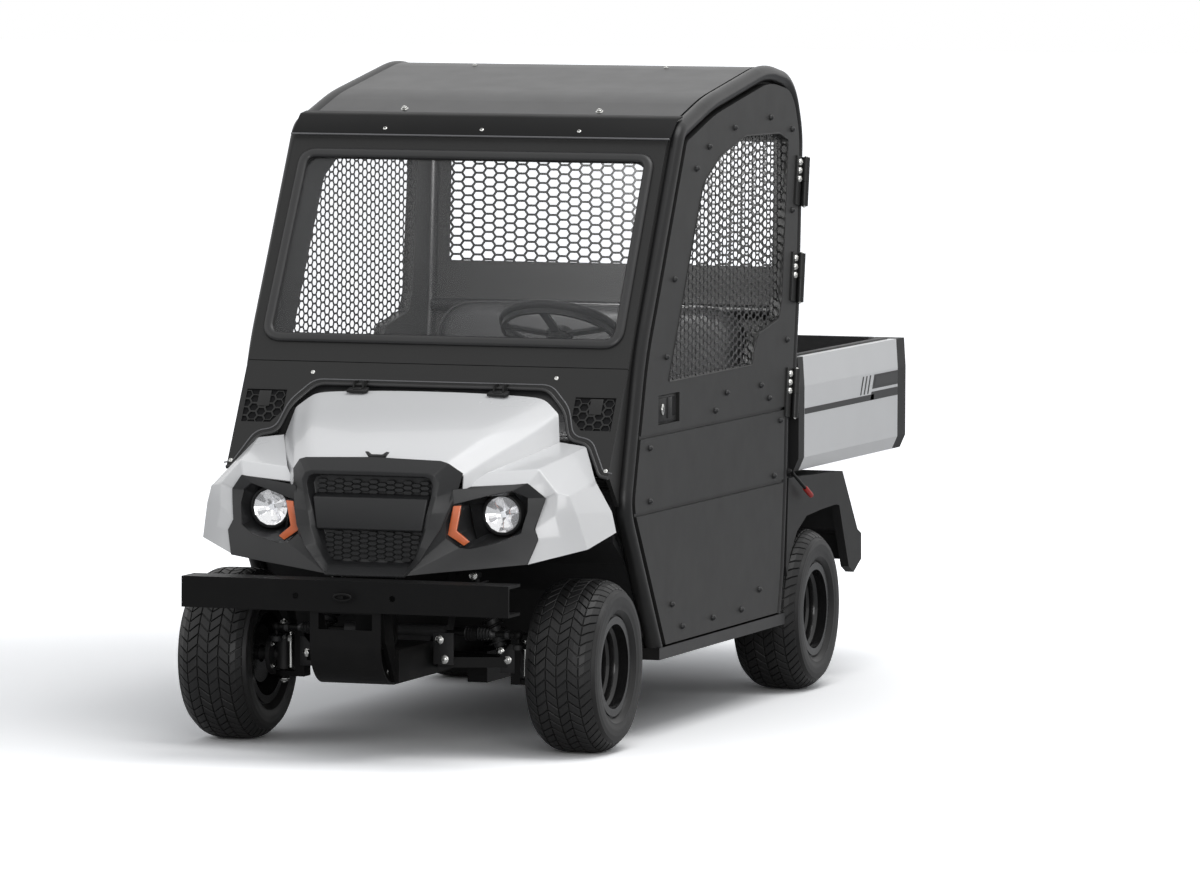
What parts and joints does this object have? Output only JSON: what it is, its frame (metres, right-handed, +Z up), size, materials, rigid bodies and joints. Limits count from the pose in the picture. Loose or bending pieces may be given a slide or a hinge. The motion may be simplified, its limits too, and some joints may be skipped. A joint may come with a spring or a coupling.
{
  "type": "golf utility cart",
  "caption": "Small utility cart with a hard cab, mesh windows, hinged doors and a tipping cargo bed on turf tyres.",
  "frame": {"origin": "on the ground below the centre of the vehicle's bounding box", "axes": "+Z up, -Y towards the front bumper, +X towards the driver's side; the ground is Z = 0"},
  "size_m": [1.28, 3.5, 1.9402],
  "materials": {
    "cab_black": "satin powder coat",
    "tube_black": "semi-gloss powder coat",
    "roof_grey": "semi-gloss paint",
    "body_white": "gloss",
    "fascia_grey": "fine grain",
    "trim_black": "matte",
    "bed_silver": "satin",
    "bed_liner": "textured liner",
    "chassis_black": "black chassis paint",
    "cast_grey": "cast",
    "zinc": "zinc plated",
    "rim_black": "gloss paint",
    "tyre": "rubber",
    "seal_rubber": "rubber",
    "screen_glass": "clear",
    "lamp_lens": "clear lens over reflector",
    "amber_lens": "gloss",
    "red_lens": "gloss",
    "mesh_black": "satin",
    "seat_vinyl": "grained vinyl",
    "lever_red": "rubber grip"
  },
  "bodies": {
    "chassis": {"chassis_frame": "chassis_black", "front_subframe": "chassis_black", "front_bumper_bar": "chassis_black", "bumper_skid_plate": "chassis_black", "front_suspension_arms": "chassis_black", "front_shock_absorbers": "cast_grey", "steering_rack_housing": "cast_grey", "steering_column": "trim_black", "rear_axle": "cast_grey", "rear_shock_absorbers": "cast_grey", "engine_block": "cast_grey", "floor_pan": "trim_black", "rocker_sills": "tube_black", "cab_tube_frame": "tube_black", "windscreen_panel": "cab_black", "windscreen_seal": "seal_rubber", "windscreen_glass": "screen_glass", "cowl_panel": "cab_black", "cowl_side_returns": "cab_black", "roof_panel": "roof_grey", "roof_visor": "tube_black", "rear_wall_panel": "cab_black", "rear_window_mesh": "mesh_black", "door_hinge_brackets": "tube_black", "dashboard": "fascia_grey", "seat_base": "trim_black", "seat_cushion": "seat_vinyl", "seat_back": "seat_vinyl", "front_fenders": "body_white", "grille_fascia": "fascia_grey", "headlamps": "lamp_lens", "amber_side_lamps": "amber_lens", "rear_mudguards": "trim_black", "bed_release_lever": "lever_red"},
    "front_left_knuckle": {"front_left_knuckle": "cast_grey"},
    "front_right_knuckle": {"front_right_knuckle": "cast_grey"},
    "front_left_wheel": {"front_left_tyre": "tyre", "front_left_rim": "rim_black"},
    "front_right_wheel": {"front_right_tyre": "tyre", "front_right_rim": "rim_black"},
    "rear_left_wheel": {"rear_left_tyre": "tyre", "rear_left_rim": "rim_black"},
    "rear_right_wheel": {"rear_right_tyre": "tyre", "rear_right_rim": "rim_black"},
    "steering_wheel": {"steering_wheel": "trim_black"},
    "tie_rods": {"steering_tie_rods": "zinc"},
    "left_door": {"left_door_panel": "cab_black", "left_door_mesh": "mesh_black"},
    "right_door": {"right_door_panel": "cab_black", "right_door_mesh": "mesh_black"},
    "hood": {"hood": "body_white", "hood_latch": "trim_black"},
    "cargo_bed": {"cargo_bed_tub": "bed_liner", "cargo_bed_side_panels": "bed_silver", "cargo_bed_end_caps": "trim_black", "tail_lamps": "red_lens"},
    "tailgate": {"tailgate": "trim_black"}
  },
  "joints": [
    {"name": "front_left_wheel_spin", "type": "hinge", "parent": "front_left_knuckle", "child": "front_left_wheel", "pos_m": [0.5325, -1.202, 0.25], "axis": [1, 0, 0], "continuous": true},
    {"name": "front_right_wheel_spin", "type": "hinge", "parent": "front_right_knuckle", "child": "front_right_wheel", "pos_m": [-0.5325, -1.202, 0.25], "axis": [1, 0, 0], "continuous": true},
    {"name": "rear_left_wheel_spin", "type": "hinge", "parent": "chassis", "child": "rear_left_wheel", "pos_m": [0.5325, 0.734, 0.25], "axis": [1, 0, 0], "continuous": true},
    {"name": "rear_right_wheel_spin", "type": "hinge", "parent": "chassis", "child": "rear_right_wheel", "pos_m": [-0.5325, 0.734, 0.25], "axis": [1, 0, 0], "continuous": true},
    {"name": "front_left_steer", "type": "hinge", "parent": "chassis", "child": "front_left_knuckle", "pos_m": [0.391, -1.202, 0.25], "axis": [0, 0, 1], "range_deg": [-28, 28]},
    {"name": "front_right_steer", "type": "hinge", "parent": "chassis", "child": "front_right_knuckle", "pos_m": [-0.391, -1.202, 0.25], "axis": [0, 0, 1], "range_deg": [-28, 28]},
    {"name": "steering_wheel_turn", "type": "hinge", "parent": "chassis", "child": "steering_wheel", "pos_m": [0.23, -0.542, 1.18], "axis": [0, 0.454, 0.891], "range_deg": [-450, 450]},
    {"name": "tie_rod_slide", "type": "slide", "parent": "chassis", "child": "tie_rods", "axis": [1, 0, 0], "range_m": [-0.052, 0.052]},
    {"name": "left_door_swing", "type": "hinge", "parent": "chassis", "child": "left_door", "pos_m": [0.628, 0.51, 0.932], "axis": [0, 0.1348, 0.9909], "range_deg": [0, 85]},
    {"name": "right_door_swing", "type": "hinge", "parent": "chassis", "child": "right_door", "pos_m": [-0.628, 0.51, 0.932], "axis": [0, -0.1348, -0.9909], "range_deg": [0, 85]},
    {"name": "hood_lift", "type": "hinge", "parent": "chassis", "child": "hood", "pos_m": [0, -1.043, 1.03], "axis": [-1, 0, 0], "range_deg": [0, 60]},
    {"name": "cargo_bed_tilt", "type": "hinge", "parent": "chassis", "child": "cargo_bed", "pos_m": [0, 1.498, 0.652], "axis": [-1, 0, 0], "range_deg": [0, 40]},
    {"name": "tailgate_drop", "type": "hinge", "parent": "cargo_bed", "child": "tailgate", "pos_m": [0, 1.729, 0.756], "axis": [-1, 0, 0], "range_deg": [0, 90]}
  ],
  "couplings": [
    {"joint": "front_right_steer", "follows": "front_left_steer", "ratio": 1},
    {"joint": "steering_wheel_turn", "follows": "front_left_steer", "ratio": 16},
    {"joint": "tie_rod_slide", "follows": "front_left_steer", "m_per_rad": 0.1056}
  ]
}
